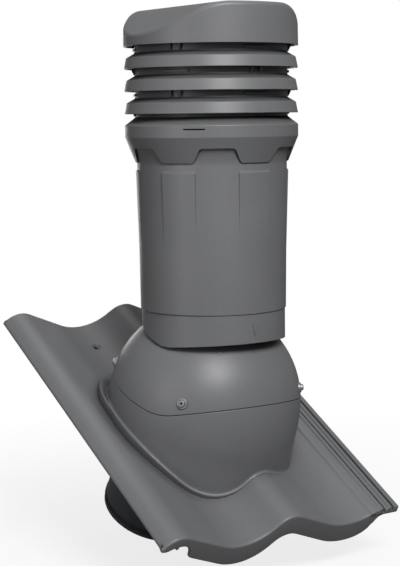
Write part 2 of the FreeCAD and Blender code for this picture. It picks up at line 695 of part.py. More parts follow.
def duct_spigot():
    """Open pipe end below the roof, hung by a small collar on the flange plate."""
    low = -SPIGOT_DROP
    step = -FLANGE_DROP - GASKET_THICKNESS + SEAT_GAP
    groove = low + SPIGOT_GROOVE_HEIGHT
    groove_radius = SPIGOT_RADIUS - SPIGOT_GROOVE_DEPTH
    collar = SPIGOT_RADIUS + SPIGOT_COLLAR_WIDTH
    head = step + SPIGOT_COLLAR_THICKNESS
    bore = PIPE_RADIUS - PIPE_WALL
    body = turned([
        (SPIGOT_RADIUS - SPIGOT_WALL, low), (SPIGOT_RADIUS, low, HOOD_EDGE_ROUND), (SPIGOT_RADIUS, groove),
        (groove_radius, groove), (groove_radius, groove + SPIGOT_GROOVE_WIDTH),
        (SPIGOT_RADIUS, groove + SPIGOT_GROOVE_WIDTH), (SPIGOT_RADIUS, step), (collar, step),
        (collar, head), (PIPE_RADIUS, head), (PIPE_RADIUS, BEND_FOOT - SEAM_GAP),
        (bore, BEND_FOOT - SEAM_GAP), (bore, step), (SPIGOT_RADIUS - SPIGOT_WALL, step - 2 * FLANGE_THICKNESS),
    ])
    body.translate(V(0, SPIGOT_SHIFT, 0))
    return on_roof(body)


def flange_plate():
    """Oval plate under the tile that closes the dome and carries the spigot."""
    top = -FLANGE_DROP - GASKET_THICKNESS
    rim = oval(SKIRT_FOOT_ACROSS + FLANGE_MARGIN, SKIRT_FOOT_ALONG + FLANGE_MARGIN, top - FLANGE_THICKNESS)
    plate = Part.Face(rim).extrude(V(0, 0, FLANGE_THICKNESS))
    hole = cylinder(SPIGOT_RADIUS + SLIP_GAP, top - 2 * FLANGE_THICKNESS, top + ROOT)
    hole.translate(V(0, SPIGOT_SHIFT, 0))
    return on_roof(plate.cut(hole))


def flange_gasket():
    low = -FLANGE_DROP - GASKET_THICKNESS
    across = SKIRT_FOOT_ACROSS + GASKET_MARGIN
    along = SKIRT_FOOT_ALONG + GASKET_MARGIN
    outside = Part.Face(oval(across, along, low))
    inside = Part.Face(oval(across - GASKET_WIDTH, along - GASKET_WIDTH, low))
    return on_roof(outside.cut(inside).extrude(V(0, 0, GASKET_THICKNESS)))


def spigot_seal():
    """Rubber lip ring in the groove at the open end."""
    low = -SPIGOT_DROP + SPIGOT_GROOVE_HEIGHT + SEAT_GAP
    high = low + SPIGOT_GROOVE_WIDTH - 2 * SEAT_GAP
    inner = SPIGOT_RADIUS - SPIGOT_GROOVE_DEPTH + SEAT_GAP
    lip = SPIGOT_RADIUS + SEAL_LIP
    ring = turned([
        (inner, low), (SPIGOT_RADIUS, low), (lip, low + SEAL_LIP_HEIGHT), (SPIGOT_RADIUS, (low + high) / 2),
        (lip, high - SEAL_LIP_HEIGHT), (SPIGOT_RADIUS, high), (inner, high),
    ])
    ring.translate(V(0, SPIGOT_SHIFT, 0))
    return on_roof(ring)


def clip_ribs(foot, head, first_angle):
    """Pairs of small ribs on the hood's neck that carry the ring above."""
    inner = HOOD_NECK_RADIUS - ROOT
    corners = [
        (inner, foot), (HOOD_NECK_RADIUS + CLIP_FOOT_RISE, foot), (CLIP_OUTSIDE, foot + CLIP_SLANT_HEIGHT),
        (CLIP_OUTSIDE, head), (inner, head),
    ]
    ribs = []
    for k in range(CLIP_COUNT):
        for middle in (-CLIP_SPACING / 2, CLIP_SPACING / 2):
            face = [(V(r, middle - CLIP_THICKNESS / 2, z), 0) for r, z in corners]
            ribs.append(around(prism(face, V(0, CLIP_THICKNESS, 0)), first_angle + CLIP_STEP * k))
    return ribs


def neck_bars(foot, first_angle):
    """Low bars round the hood's neck, between the clips."""
    ring = tube(HOOD_NECK_RADIUS + BAR_RISE, HOOD_NECK_RADIUS - ROOT, foot, foot + BAR_HEIGHT)
    return [sector(ring, first_angle + CLIP_STEP * k, BAR_SPAN) for k in range(CLIP_COUNT)]


def under_ring(z):
    """Room under a louvre ring whose tip is at height z, kept clear by the seat gap."""
    shoulder = HOOD_RADIUS - SHOULDER_INSET - HOOD_WALL
    neck = HOOD_NECK_RADIUS - HOOD_WALL
    roof = z + NECK_START - HOOD_BEND_DROP - SEAT_GAP
    return turned([
        (0, z - RING_PITCH), (HOOD_RADIUS, z - RING_PITCH), (HOOD_RADIUS - HOOD_WALL - SEAT_GAP, z),
        (shoulder, z + SHOULDER_HEIGHT - HOOD_BEND_DROP - SEAT_GAP), (neck, roof), (0, roof),
    ])


def hood_carriers(neck_foot, tip_above, first_angle, last=False):
    """Clips and bars on one neck, cut to the underside of the ring above."""
    head = tip_above + (CLIP_HEAD_ABOVE_TIP if last else NECK_START)
    ribs = clip_ribs(neck_foot + ROOT, head, first_angle)
    if not last:
        room = under_ring(tip_above)
        ribs = [rib.common(room) for rib in ribs]
    return ribs + neck_bars(neck_foot + BAR_FOOT, first_angle + CLIP_STEP / 2)


def louvre_ring(index):
    z = FIRST_RING + index * RING_PITCH
    shoulder = HOOD_RADIUS - SHOULDER_INSET
    inner_neck = HOOD_NECK_RADIUS - HOOD_WALL
    profile = [
        (HOOD_RADIUS - HOOD_WALL, z), (HOOD_RADIUS, z, HOOD_EDGE_ROUND),
        (shoulder, z + SHOULDER_HEIGHT, HOOD_SHOULDER_ROUND),
        (HOOD_NECK_RADIUS, z + NECK_START, HOOD_SHOULDER_ROUND), (HOOD_NECK_RADIUS, z + NECK_RISE),
        (inner_neck, z + NECK_RISE), (inner_neck, z + NECK_START - HOOD_BEND_DROP),
        (shoulder - HOOD_WALL, z + SHOULDER_HEIGHT - HOOD_BEND_DROP),
    ]
    phase = CLIP_FIRST + (CLIP_STEP / 2 if index % 2 == 0 else 0)
    carriers = hood_carriers(z + NECK_START, z + RING_PITCH, phase, index == RING_COUNT - 1)
    return on_pipe(fused([turned(profile)] + carriers))


def hood_floor():
    """Floor of the hood with the hub that slips over the inner pipe."""
    hub_inner = PIPE_RADIUS + SLIP_GAP
    hub_outer = hub_inner + HUB_WALL
    band = HOOD_RADIUS - HOOD_WALL
    foot = FLOOR_HEIGHT - HUB_DEPTH
    top = FLOOR_HEIGHT + FLOOR_THICKNESS
    return turned([
        (hub_inner, foot), (hub_outer, foot), (hub_outer, FLOOR_HEIGHT),
        (band - FLOOR_SLOPE_WIDTH, FLOOR_HEIGHT),
        (band + ROOT, FLOOR_HEIGHT + FLOOR_RISE), (band + ROOT, top + FLOOR_RISE),
        (band - FLOOR_SLOPE_WIDTH, top), (hub_inner, top),
    ])


def hood_base():
    band = HOOD_RADIUS - HOOD_WALL
    inner_neck = HOOD_NECK_RADIUS - HOOD_WALL
    slope = (HOOD_RADIUS - BASE_TEETH_RADIUS) / (BASE_BAND_FOOT - BASE_TEETH_FOOT)
    thin = BASE_TEETH_RADIUS - BASE_TEETH_WALL
    thin_top = BASE_TEETH_FOOT + (HOOD_WALL - BASE_TEETH_WALL) / slope
    profile = [
        (thin, BASE_TEETH_FOOT), (BASE_TEETH_RADIUS, BASE_TEETH_FOOT, HOOD_EDGE_ROUND),
        (HOOD_RADIUS, BASE_BAND_FOOT, HOOD_SHOULDER_ROUND), (HOOD_RADIUS, BASE_SHOULDER, HOOD_SHOULDER_ROUND),
        (HOOD_NECK_RADIUS, BASE_NECK_FOOT, HOOD_SHOULDER_ROUND),
        (HOOD_NECK_RADIUS, FIRST_RING + BASE_NECK_LAP), (inner_neck, FIRST_RING + BASE_NECK_LAP),
        (inner_neck, BASE_NECK_FOOT - HOOD_BEND_DROP),
        (band, BASE_SHOULDER - HOOD_BEND_DROP), (band, BASE_BAND_FOOT + HOOD_BEND_DROP), (thin, thin_top),
    ]
    gaps = [around(gap_window(0), TOOTH_STEP * k) for k in range(TOOTH_COUNT)]
    shell = turned(profile).cut(Part.makeCompound(gaps))
    slot_ring = tube(HOOD_RADIUS + ROOT, band - ROOT, SLOT_Z, SLOT_Z + SLOT_HEIGHT)
    slots = [sector(slot_ring, SLOT_ANGLE + CLIP_STEP * k, SLOT_SPAN) for k in range(CLIP_COUNT)]
    carriers = hood_carriers(BASE_NECK_FOOT, FIRST_RING, CLIP_FIRST)
    return on_pipe(fused([shell, hood_floor()] + carriers).cut(slots))


def pipe_gasket():
    """Rubber lip between the hood's hub and the inner pipe."""
    low = FLOOR_HEIGHT + FLOOR_THICKNESS + SEAT_GAP
    inner = PIPE_RADIUS + SEAT_GAP
    base = low + PIPE_GASKET_BASE
    return on_pipe(turned([
        (inner, low), (inner + PIPE_GASKET_WIDTH, low), (inner + PIPE_GASKET_WIDTH, base),
        (inner + PIPE_GASKET_BASE, base), (inner, low + PIPE_GASKET_HEIGHT),
    ]))


def cap_body(inset):
    """Filled form of the cap, made smaller all round by an inset and open below by as much."""
    top = CAP_TOP - inset
    foot = CAP_FOOT - 2 * inset
    slant_foot = top - (FAR - CAP_RIDGE_HALF) * CAP_SLANT
    corners = [
        (V(-FAR, -FAR, slant_foot), 0), (V(-CAP_RIDGE_HALF, -FAR, top), CAP_RIDGE_RADIUS),
        (V(CAP_RIDGE_HALF, -FAR, top), CAP_RIDGE_RADIUS), (V(FAR, -FAR, slant_foot), 0),
        (V(FAR, -FAR, -FAR), 0), (V(-FAR, -FAR, -FAR), 0),
    ]
    radius = HOOD_RADIUS - inset
    high = CAP_TOP + CAP_DRAFT_RISE
    drum = turned([(0, foot), (radius + CAP_DRAFT, foot), (radius - CAP_DRAFT, high), (0, high)])
    return drum.common(prism(corners, V(0, 2 * FAR, 0)))


def cap_rim(cap):
    """Edges where the cap's slanted top meets its upright side."""
    rim = []
    for edge in cap.Edges:
        cones = [f for f in cap.ancestorsOfType(edge, Part.Face) if f.Surface.TypeId == "Part::GeomCone"]
        if len(cones) == 1 and edge.BoundBox.ZMin > CAP_FOOT + ROOT:
            rim.append(edge)
    return rim


def hood_cap():
    outside = cap_body(0)
    shell = outside.makeFillet(CAP_EDGE_RADIUS, cap_rim(outside)).cut(cap_body(HOOD_WALL))
    pillars = []
    last_neck = FIRST_RING + (RING_COUNT - 1) * RING_PITCH + NECK_RISE + SEAT_GAP
    corner = V(HOOD_NECK_RADIUS - HOOD_WALL - ROOT, -CAP_PILLAR_WIDTH / 2, last_neck)
    post = Part.makeBox(HOOD_WALL + 2 * ROOT, CAP_PILLAR_WIDTH, CAP_TOP - CAP_FOOT, corner)
    for k in range(CLIP_COUNT):
        pillars.append(around(post, CLIP_FIRST + CLIP_STEP * (k + 0.5)).common(cap_body(ROOT)))
    return on_pipe(fused([shell] + pillars))


NODES = {
    "tile_base": tile_base,
    "dome_shell": dome_shell,
    "dome_seal": dome_seal,
    "dome_screws": dome_screws,
    "dome_screw_washers": dome_screw_washers,
    "neck_collar": neck_collar,
    "outer_sleeve": outer_sleeve,
    "inner_pipe": inner_pipe,
    "insulation_sleeve": insulation_sleeve,
    "pipe_bend": pipe_bend,
    "duct_spigot": duct_spigot,
    "flange_plate": flange_plate,
    "flange_gasket": flange_gasket,
    "spigot_seal": spigot_seal,
    "pipe_gasket": pipe_gasket,
    "hood_base": hood_base,
    "louvre_ring_lower": lambda: louvre_ring(0),
    "louvre_ring_middle": lambda: louvre_ring(1),
    "louvre_ring_upper": lambda: louvre_ring(2),
    "hood_cap": hood_cap,
}

os.makedirs("parts", exist_ok=True)
for name, make in NODES.items():
    shape = make()
    shape.exportStep(f"parts/{name}.step")
    box = shape.BoundBox
    print(name, "solids", len(shape.Solids), "valid", shape.isValid(), "volume", round(shape.Volume),
          "size", round(box.XLength, 1), round(box.YLength, 1), round(box.ZLength, 1))
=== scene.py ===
# %% [markdown]
# # Roof tile vent
# A vent pipe has to leave a roof without letting rain in. On the real thing a wave tile
# is moulded in one piece with the lower half of a dome, an upper shell turns on it to
# take up the roof's pitch, and a louvred hood closes the pipe. This notebook dresses
# the CAD model of that vent: camera, light, finishes, then the tile, the one piece that
# needs softer forms than the CAD has.

# %% Load the frame
import json
import math
import bpy
import bmesh
from mathutils import Matrix, Vector


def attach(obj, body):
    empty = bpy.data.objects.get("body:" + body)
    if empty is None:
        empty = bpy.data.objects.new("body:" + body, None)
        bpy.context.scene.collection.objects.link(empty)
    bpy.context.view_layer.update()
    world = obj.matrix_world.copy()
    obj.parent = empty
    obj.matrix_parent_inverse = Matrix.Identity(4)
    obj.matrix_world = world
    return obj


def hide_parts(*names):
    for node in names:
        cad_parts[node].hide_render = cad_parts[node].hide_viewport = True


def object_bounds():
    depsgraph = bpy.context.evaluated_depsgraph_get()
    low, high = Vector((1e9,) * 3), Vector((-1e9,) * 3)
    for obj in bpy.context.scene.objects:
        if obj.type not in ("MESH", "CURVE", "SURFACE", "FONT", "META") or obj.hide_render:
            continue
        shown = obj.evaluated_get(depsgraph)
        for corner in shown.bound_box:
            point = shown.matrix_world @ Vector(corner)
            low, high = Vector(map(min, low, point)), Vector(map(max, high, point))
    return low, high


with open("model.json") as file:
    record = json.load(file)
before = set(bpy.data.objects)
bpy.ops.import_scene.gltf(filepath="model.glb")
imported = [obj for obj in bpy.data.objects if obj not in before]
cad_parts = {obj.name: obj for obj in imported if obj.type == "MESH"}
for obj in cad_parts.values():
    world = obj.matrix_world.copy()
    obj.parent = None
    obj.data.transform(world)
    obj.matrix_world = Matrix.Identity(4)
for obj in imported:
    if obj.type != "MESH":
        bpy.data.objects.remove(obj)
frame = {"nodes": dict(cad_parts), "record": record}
nodes = frame["nodes"]
cad_low, cad_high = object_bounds()
print("nodes", len(nodes), "size", [round(v * 1000) for v in (cad_high - cad_low)])

# %% [markdown]
# A product photograph of a tall thing is taken from some way off with a long lens, so
# that upright edges stay upright. The camera could be aimed with a Track To constraint,
# but a measured view is easier to keep as three angles. They are turned here into the
# camera's own right, up and back directions, which are the columns of its matrix.

# %% Camera
CAMERA_SPOT = Vector((-0.9763, -1.5878, 0.4951))
CAMERA_YAW = math.radians(-33.475)
CAMERA_DIP = math.radians(6.44)
CAMERA_ROLL = math.radians(-0.682)
CAMERA_LENS, CAMERA_SENSOR, CAMERA_REACH = 95.42, 36, 50


def camera_matrix(spot, yaw, dip, roll):
    level = Vector((-math.sin(yaw), math.cos(yaw), 0))
    side = Vector((math.cos(yaw), math.sin(yaw), 0))
    ahead = level * math.cos(dip) - Vector((0, 0, math.sin(dip)))
    above = level * math.sin(dip) + Vector((0, 0, math.cos(dip)))
    right = side * math.cos(roll) + above * math.sin(roll)
    up = above * math.cos(roll) - side * math.sin(roll)
    columns = Matrix((right, up, -ahead)).transposed()
    return Matrix.Translation(spot) @ columns.to_4x4()


camera = bpy.data.objects.new("camera", bpy.data.cameras.new("camera"))
camera.data.lens = CAMERA_LENS
camera.data.sensor_width = CAMERA_SENSOR
camera.data.clip_end = CAMERA_REACH
camera.matrix_world = camera_matrix(CAMERA_SPOT, CAMERA_YAW, CAMERA_DIP, CAMERA_ROLL)
bpy.context.scene.collection.objects.link(camera)
bpy.context.scene.camera = camera
bpy.context.scene.view_settings.view_transform = "Standard"
print("camera", [round(v, 3) for v in camera.location], "lens", camera.data.lens)

# %% [markdown]
# Every finish below is worked out from formulas. The nodes could be placed and linked
# by hand, but a plain sum is shorter to read and easier to change. This class holds one
# output socket of a node tree. Adding or multiplying it makes the Math node behind the
# scenes. The reflected forms let a number stand on the left, as in `1 - mask`.

# %% Shader sums


class Wire:
    """One output socket that can be used in sums."""

    def __init__(self, finish, socket):
        self.finish = finish
        self.socket = socket

    def math(self, operation, first, second, clamp=False):
        settings = {"operation": operation, "use_clamp": clamp}
        return self.finish.node("ShaderNodeMath", settings, {0: first, 1: second})

    def __add__(self, other):
        return self.math("ADD", self, other)

    def __sub__(self, other):
        return self.math("SUBTRACT", self, other)

    def __mul__(self, other):
        return self.math("MULTIPLY", self, other)

    def __radd__(self, other):
        return self.math("ADD", other, self)

    def __rsub__(self, other):
        return self.math("SUBTRACT", other, self)

    def __rmul__(self, other):
        return self.math("MULTIPLY", other, self)

    def limited(self):
        return self.math("ADD", self, 0.0, clamp=True)


# %% [markdown]
# A finish is one material with one Principled shader. `node` is the only way in which
# other nodes are made: its settings come first, because they can change which sockets
# a node has, and then each socket gets a number or a wire. The methods after it are the
# few patterns that several of the vent's finishes share: clouds, edges that are rubbed
# smoother and given a painted highlight, and painted shade in hollows.

# %% Finishes


class Graph:
    """A node tree whose nodes are made by one call."""

    def __init__(self, tree):
        self.tree = tree

    def node(self, kind, settings=None, values=None, output=0):
        made = self.tree.nodes.new(kind)
        for name, value in (settings or {}).items():
            setattr(made, name, value)
        self.fill(made, values or {})
        return Wire(self, made.outputs[output])

    def fill(self, made, values):
        for socket, value in values.items():
            if isinstance(value, Wire):
                self.tree.links.new(value.socket, made.inputs[socket])
            else:
                made.inputs[socket].default_value = value


class Finish(Graph):
    """A material that is built up by expressions."""

    EDGE_SAMPLES, SKY_SAMPLES = 6, 8
    COLOUR_A, COLOUR_B, COLOUR_OUT = 6, 7, 2

    def __init__(self, name, **fixed):
        self.material = bpy.data.materials.new(name)
        self.material.use_nodes = True
        super().__init__(self.material.node_tree)
        self.shader = self.tree.nodes["Principled BSDF"]
        self.fill(self.shader, self.sockets(fixed))

    def sockets(self, given):
        """Python names such as Base_Color turned into the sockets' own."""
        return {name.replace("_", " "): value for name, value in given.items()}

    def place(self):
        return self.node("ShaderNodeTexCoord", output="Object")

    def noise(self, size, detail=3.0, roughness=0.5, stretch=None):
        """Cloudy values from 0 to 1 whose spots are about so many metres across."""
        spot = self.place()
        if stretch:
            settings = {"operation": "MULTIPLY"}
            spot = self.node("ShaderNodeVectorMath", settings, {0: spot, 1: stretch})
        values = {"Vector": spot, "Scale": 1 / size, "Detail": detail, "Roughness": roughness}
        return self.node("ShaderNodeTexNoise", {}, values)

    def between(self, value, low, high):
        """0 below low, 1 above high, straight in between."""
        values = {"Value": value, "From Min": low, "From Max": high}
        return self.node("ShaderNodeMapRange", {"clamp": True}, values)

    def mix(self, share, first, second):
        values = {0: share, self.COLOUR_A: first, self.COLOUR_B: second}
        return self.node("ShaderNodeMix", {"data_type": "RGBA"}, values, self.COLOUR_OUT)

    def edge(self, radius):
        """A normal that is rounded off over each edge."""
        return self.node("ShaderNodeBevel", {"samples": self.EDGE_SAMPLES}, {"Radius": radius})

    def worn(self, rounded, reach):
        """1 on the edges, where the rounded normal leaves the true one."""
        true = self.node("ShaderNodeNewGeometry", output="Normal")
        settings = {"operation": "DOT_PRODUCT"}
        same = self.node("ShaderNodeVectorMath", settings, {0: rounded, 1: true}, "Value")
        return self.between(1 - same, 0.0, reach)

    def open_sky(self, reach):
        """1 on open faces, towards 0 in hollows: the mask for painted shade."""
        settings = {"samples": self.SKY_SAMPLES}
        return self.node("ShaderNodeAmbientOcclusion", settings, {"Distance": reach}, "AO")

    def bump(self, height, depth, normal=None):
        values = {"Height": height, "Distance": depth, "Strength": 1.0}
        if normal:
            values["Normal"] = normal
        return self.node("ShaderNodeBump", {}, values)

    def finish(self, **varying):
        self.fill(self.shader, self.sockets(varying))
        return self.material


def colour(red, green, blue):
    return (red, green, blue, 1.0)


def shade_of(tone, factor):
    """A tone made darker or lighter."""
    return colour(*[c * factor for c in tone])


print("shared patterns", [name for name in vars(Finish) if name[0].islower()])


# %% [markdown]
# The vent is moulded in a hard grey plastic that is coloured right through. The mould
# was lightly spark-eroded, which gives a satin skin of grains a fraction of a
# millimetre across. A flat grey would look like paint, so the colour drifts a little
# over the moulding and the grain goes into a Bump node. The edges, where hands and
# packing rub, are smoother, and they are also painted a shade lighter: a painted
# highlight along each rounded edge.
#
# Deep slots in such a part look nearly black. More bounces of light would not do that
# here, because the studio is white all round, so an Ambient Occlusion node paints shade
# into the colour of the hollows. The hood is a stack of gaps and gets a stronger, darker
# painted shade than the rest.

# %% Grey plastic


def grey_plastic(name, tone, shade_reach, depth_shade):
    """Painted shade: hollows narrower than the given reach, in metres, are darkened to the given share of
    the tone.
    """
    finish = Finish(name, IOR=1.5)
    rounded = finish.edge(0.0009)
    drift = finish.noise(0.09, detail=2.0)
    mottle = finish.noise(0.004, detail=4.0, roughness=0.6)
    grain = finish.noise(0.0007, detail=2.0, roughness=0.7)
    rub_and_shine = finish.worn(rounded, 0.12)
    shade = finish.between(drift * 0.6 + mottle * 0.4, 0.3, 0.7)
    base = finish.mix(shade, shade_of(tone, 0.93), shade_of(tone, 1.07))
    # Painted highlight: the rounded edges are painted a shade lighter.
    worn = finish.mix(rub_and_shine * 0.55, base, shade_of(tone, 1.6))
    # Painted shade: the hollows are darkened towards depth_shade times the tone.
    opened = finish.between(finish.open_sky(shade_reach), 0.15, 0.85)
    colour_with_painted_shade = finish.mix(opened, shade_of(tone, depth_shade), worn)
    rough = 0.44 + (mottle - 0.5) * 0.12 - rub_and_shine * 0.06
    skin = finish.bump(grain * 0.7 + mottle * 0.3, 0.00006, rounded)
    return finish.finish(Base_Color=colour_with_painted_shade, Roughness=rough, Normal=skin)


PLASTIC_TONE = (0.150, 0.152, 0.157)
plastic = grey_plastic("satin grey plastic", PLASTIC_TONE, 0.03, 0.28)
# The hood's painted shade reaches twice as far and is nearly black.
hood_plastic = grey_plastic("hood plastic", PLASTIC_TONE, 0.06, 0.02)
print("grey plastic nodes", len(plastic.node_tree.nodes), len(hood_plastic.node_tree.nodes))

# %% [markdown]
# The spigot and the bend below the roof are black plastic with a plainer, slightly
# shinier skin. The seals are rubber, which is darker still and quite dull. Two flat
# colours would do from far off, but close up both need a little mottling. They differ
# only in tone, roughness and grain, so one function makes both.

# %% Black plastic and rubber


def dull_black(name, tone, roughness, grain_size):
    finish = Finish(name, IOR=1.5)
    rounded = finish.edge(0.0006)
    mottle = finish.noise(0.006, detail=3.0)
    grain = finish.noise(grain_size, detail=2.0)
    base = finish.mix(mottle, shade_of(tone, 0.8), shade_of(tone, 1.25))
    rough = roughness + (mottle - 0.5) * 0.15
    skin = finish.bump(grain, 0.00005, rounded)
    return finish.finish(Base_Color=base, Roughness=rough, Normal=skin)


black = dull_black("black plastic", (0.052, 0.056, 0.066), 0.42, 0.0008)
rubber = dull_black("black rubber", (0.012, 0.012, 0.013), 0.72, 0.0015)
print("black finishes", black.name, rubber.name)

# %% [markdown]
# The inner pipe is pale grey plastic, as drain pipes are. The space between it and
# the sleeve is packed with a light foam. Neither shows while the vent is whole, so plain
# greys could serve, but the pieces are also looked at one by one. Stretching the noise
# along the pipe gives the faint marks of drawing, and a Voronoi texture, whose value
# grows from the middle of each cell, gives the foam its closed cells.

# %% Pipe and foam
FOAM_CELL = 0.0025


def pale_pipe():
    finish = Finish("pale pipe plastic", IOR=1.5)
    drawn = finish.noise(0.004, detail=3.0, stretch=(1.0, 1.0, 0.08))
    base = finish.mix(drawn, colour(0.42, 0.43, 0.44), colour(0.5, 0.51, 0.52))
    rough = 0.3 + drawn * 0.12
    return finish.finish(Base_Color=base, Roughness=rough, Normal=finish.bump(drawn, 0.00004))


def foam():
    finish = Finish("grey foam")
    values = {"Vector": finish.place(), "Scale": 1 / FOAM_CELL}
    cells = finish.node("ShaderNodeTexVoronoi", {}, values)
    cloud = finish.noise(0.02)
    base = finish.mix(cloud, colour(0.2, 0.2, 0.21), colour(0.28, 0.28, 0.29))
    rough = 0.85 + cloud * 0.1
    return finish.finish(Base_Color=base, Roughness=rough, Normal=finish.bump(cells, 0.0004))


pipe_finish = pale_pipe()
foam_finish = foam()
print("pipe and foam", pipe_finish.name, foam_finish.name)

# %% [markdown]
# The four screws and the washers under them are steel. Turned steel keeps fine rings,
# and they could be drawn with a Wave texture. On a head a few millimetres across they
# only spread the highlight, so a varying roughness stands for them. The drive in each
# head is a narrow pit, and the Ambient Occlusion node paints shade into it, nearly black.

# %% Screw steel


def steel():
    finish = Finish("screw steel", Metallic=0.7)
    rounded = finish.edge(0.0004)
    rub_and_shine = finish.noise(0.001, detail=4.0)
    base = finish.mix(rub_and_shine, colour(0.3, 0.305, 0.31), colour(0.4, 0.4, 0.405))
    rough = 0.38 + rub_and_shine * 0.15
    # Painted shade: the drive's pit is darkened almost to black.
    opened = finish.between(finish.open_sky(0.004), 0.3, 0.9)
    colour_with_painted_shade = finish.mix(opened, colour(0.01, 0.01, 0.01), base)
    skin = finish.bump(rub_and_shine, 0.00001, rounded)
    return finish.finish(Base_Color=colour_with_painted_shade, Roughness=rough, Normal=skin)


steel_finish = steel()
print("steel", steel_finish.name)

# %% [markdown]
# Each CAD node comes with the name of a material slot in its record. Finishes could be
# given out node by node, but a table from slot to finish keeps the two lists in step.
# The hood's nodes are the one exception: same slot, but the finish whose painted shade
# reaches further into its gaps and is nearly black.

# %% Dress the CAD nodes
FINISH_OF_SLOT = {
    "grey_plastic": plastic,
    "black_plastic": black,
    "black_rubber": rubber,
    "light_pipe_plastic": pipe_finish,
    "grey_foam": foam_finish,
    "screw_steel": steel_finish,
}
HOOD_NODES = ("hood", "louvre")
slot_of_node = {part["node"]: part["material_slot"] for part in frame["record"]["subparts"]}
for name, piece in nodes.items():
    in_hood = name.startswith(HOOD_NODES)
    piece.data.materials.clear()
    piece.data.materials.append(hood_plastic if in_hood else FINISH_OF_SLOT[slot_of_node[name]])
print("dressed", len(nodes), "of them in the hood", sum(name.startswith(HOOD_NODES) for name in nodes))

# %% [markdown]
# The tile is the piece that most needs a softer form. The real one is one injection
# moulding: wave, ledge, the lower half of the dome and the eave lip run into each other
# through small radii. It could be cut from solids with booleans and bevelled, but bevels
# fail where a wave meets an oval. Here it is woven like a basket instead. Columns of
# points run from the dome's rim, down the ball and out over the wave to the tile's edge,
# then back along the underside, and neighbouring columns are joined by quads.
#
# Most measures repeat the CAD's, in millimetres, in the tile's own frame: x across, y up
# the roof, z square to the tile, with the dome's centre as origin. The ledge, the dome's
# foot and the side lock were drawn again a few millimetres off, closer to the photograph.

# %% Tile measures
TILE_LEFT, LOCK_LEFT = -159.4, 136.1
EAVE, RIDGE = -195.8, 224.2
TILE_WALL = 4.0
BALL_RADIUS, BALL_WALL = 114.0, 3.4
LAP_OUTSIDE, LAP_INSIDE = 110.4, 107.8
LAP_HEIGHT, LAP_OVERLAP = 20.0, 8.0
SKIRT_DEPTH = 56.0
SKIRT_FOOT = (116.6, 120.2, -8.4)
LEDGE_EDGE = (120.6, 132.1, 1.0)
WAVE_CORNERS = [(0, -29.8, 0), (16.8, -13.0, 25.8), (120.3, -59.5, 58.0), (166.8, -13.0, 25.8),
                (258.5, -54.3, 75.0), (295.5, -37.7, 0)]
LEDGE_LIFTS = [16.7, 16.7, 2.6, 2.6, -1.0, -1.0]
SHARP_LIFT = 5
VALLEYS = [(-45.9, -47.9), (104.1, -46.9)]
ROOF_PITCH = math.radians(29)
DOME_MIDDLE = Matrix.Rotation(ROOF_PITCH, 3, "X") @ Vector((0, -27.4, 195.2))
TILE_FRAME = Matrix.Scale(0.001, 4) @ Matrix.Translation(DOME_MIDDLE) @ Matrix.Rotation(ROOF_PITCH, 4, "X")
print("dome middle", [round(v, 1) for v in DOME_MIDDLE])

# %% [markdown]
# The wave is a line with rounded corners. Each corner is replaced by an arc that
# touches both of its sides, and the height anywhere is read off between the points.
# The ledge round the dome's foot is the same line, lifted more at its left end, where
# the corners stay sharp. A Bezier curve would draw it too, but these arcs have the radii
# that the CAD's wave has.

# %% Wave line


def rounded_line(corners, steps=16):
    """Points along a line whose corners, given as (x, z, radius), are rounded."""
    points = [Vector(corners[0][:2])]
    for before, here, after in zip(corners, corners[1:], corners[2:]):
        spot, radius = Vector(here[:2]), here[2]
        back = (Vector(before[:2]) - spot).normalized()
        ahead = (Vector(after[:2]) - spot).normalized()
        half = back.angle(ahead) / 2
        centre = spot + (back + ahead).normalized() * radius / math.sin(half)
        first = spot + back * radius / math.tan(half)
        last = spot + ahead * radius / math.tan(half)
        for k in range(steps + 1):
            arm = (first - centre).lerp(last - centre, k / steps)
            points.append(centre + arm.normalized() * radius if radius else spot)
    return points + [Vector(corners[-1][:2])]


def reader(points):
    """A function that reads heights off a line of points."""

    def height(x):
        if x <= points[0][0]:
            return points[0][1]
        for a, b in zip(points, points[1:]):
            if a[0] <= x < b[0]:
                return a[1] + (b[1] - a[1]) * (x - a[0]) / (b[0] - a[0])
        return points[-1][1]

    return height


def over_tile(corners):
    return reader([(TILE_LEFT + p.x, p.y) for p in rounded_line(corners)])


lifted = [(x, z + lift, 0 if lift > SHARP_LIFT else radius)
          for (x, z, radius), lift in zip(WAVE_CORNERS, LEDGE_LIFTS)]
wave_at = over_tile(WAVE_CORNERS)
ledge_at = over_tile(lifted)


def ground_at(x):
    """Height of the tile beside the dome: the ledge, or the wave where that is higher."""
    return max(ledge_at(x), wave_at(x))


print("wave", [round(wave_at(x), 1) for x in (-142, -40, 10, 100)])

# %% [markdown]
# The dome's two shells meet on a bent rim line: seen from the side it falls towards the
# pipe from behind, turns softly, and rises again in front. The line is given upright,
# but the columns stand on the slanting tile. A formula for where they cross would be
# long, so the angle is found by halving a range until its two ends agree.

# %% Rim of the lower shell
RIM_BEND, RIM_BEND_REACH, RIM_AT_BEND = -56.0, 15.0, -1.5
RIM_FRONT_SLOPE, RIM_BACK_SLOPE = -0.165, 0.365
LOWEST_RISE, HIGHEST_RISE = -0.3, 1.4
HALVINGS = 30


def rim_height(y):
    """Height of the rim line over the dome's centre, seen from the side."""
    u = y - RIM_BEND
    if abs(u) > RIM_BEND_REACH:
        return RIM_AT_BEND + (RIM_BACK_SLOPE if u > 0 else RIM_FRONT_SLOPE) * u
    into = u + RIM_BEND_REACH
    turned = (RIM_BACK_SLOPE - RIM_FRONT_SLOPE) * into ** 2 / (4 * RIM_BEND_REACH)
    return RIM_AT_BEND - RIM_FRONT_SLOPE * RIM_BEND_REACH + RIM_FRONT_SLOPE * into + turned


